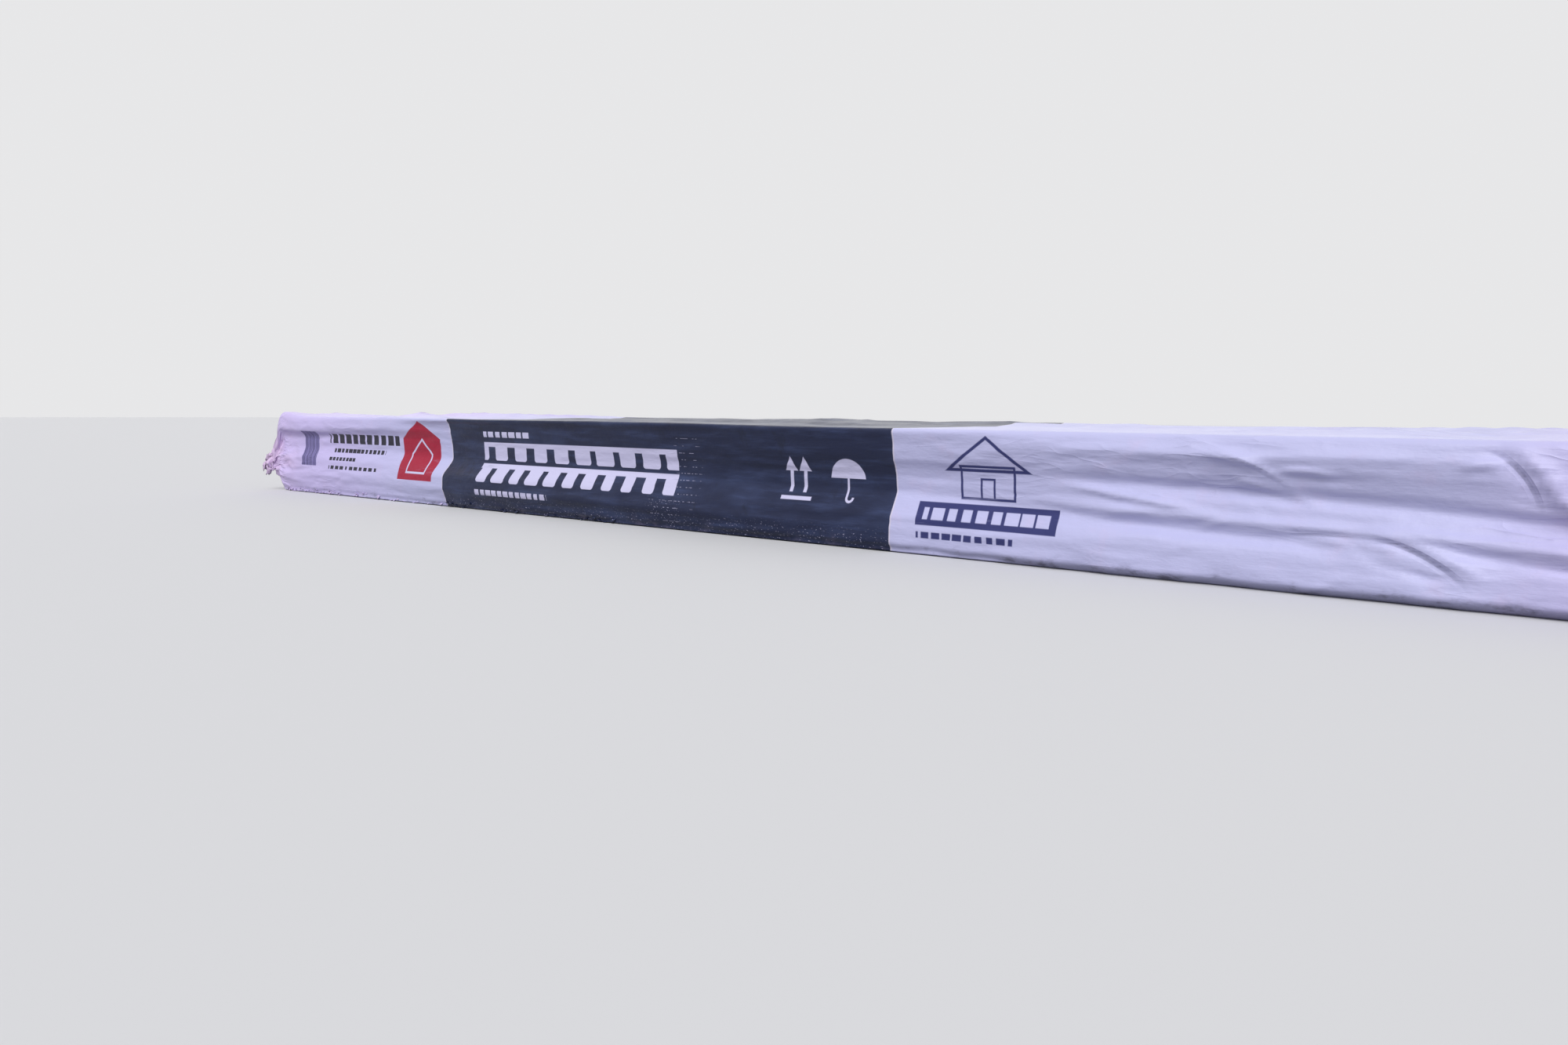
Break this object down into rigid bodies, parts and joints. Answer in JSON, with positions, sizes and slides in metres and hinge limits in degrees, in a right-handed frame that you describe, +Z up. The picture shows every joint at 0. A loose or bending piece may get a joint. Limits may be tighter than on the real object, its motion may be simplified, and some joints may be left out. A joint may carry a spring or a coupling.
{
  "type": "asphalt shingle bundle",
  "caption": "Flat bundle of laminated asphalt roof shingles, stacked back to back in a tight plastic film wrapper with a welded seal at each end.",
  "frame": {"origin": "middle of the underside, where the bundle lies on the floor", "axes": "+X along the bundle, -Y towards its printed front edge, +Z up"},
  "size_m": [1.0348, 0.3578, 0.0683],
  "materials": {
    "film": "satin",
    "shingle": "granulated"
  },
  "bodies": {
    "root": {"shingle_01": "shingle", "shingle_02": "shingle", "shingle_03": "shingle", "shingle_04": "shingle", "shingle_05": "shingle", "shingle_06": "shingle", "shingle_07": "shingle", "shingle_08": "shingle", "shingle_09": "shingle", "shingle_10": "shingle", "shingle_11": "shingle", "shingle_12": "shingle", "shingle_13": "shingle", "shingle_14": "shingle", "shingle_15": "shingle", "shingle_16": "shingle", "shingle_17": "shingle", "shingle_18": "shingle", "shingle_19": "shingle", "shingle_20": "shingle", "shingle_21": "shingle", "shingle_22": "shingle", "wrapper": "film"}
  },
  "joints": []
}
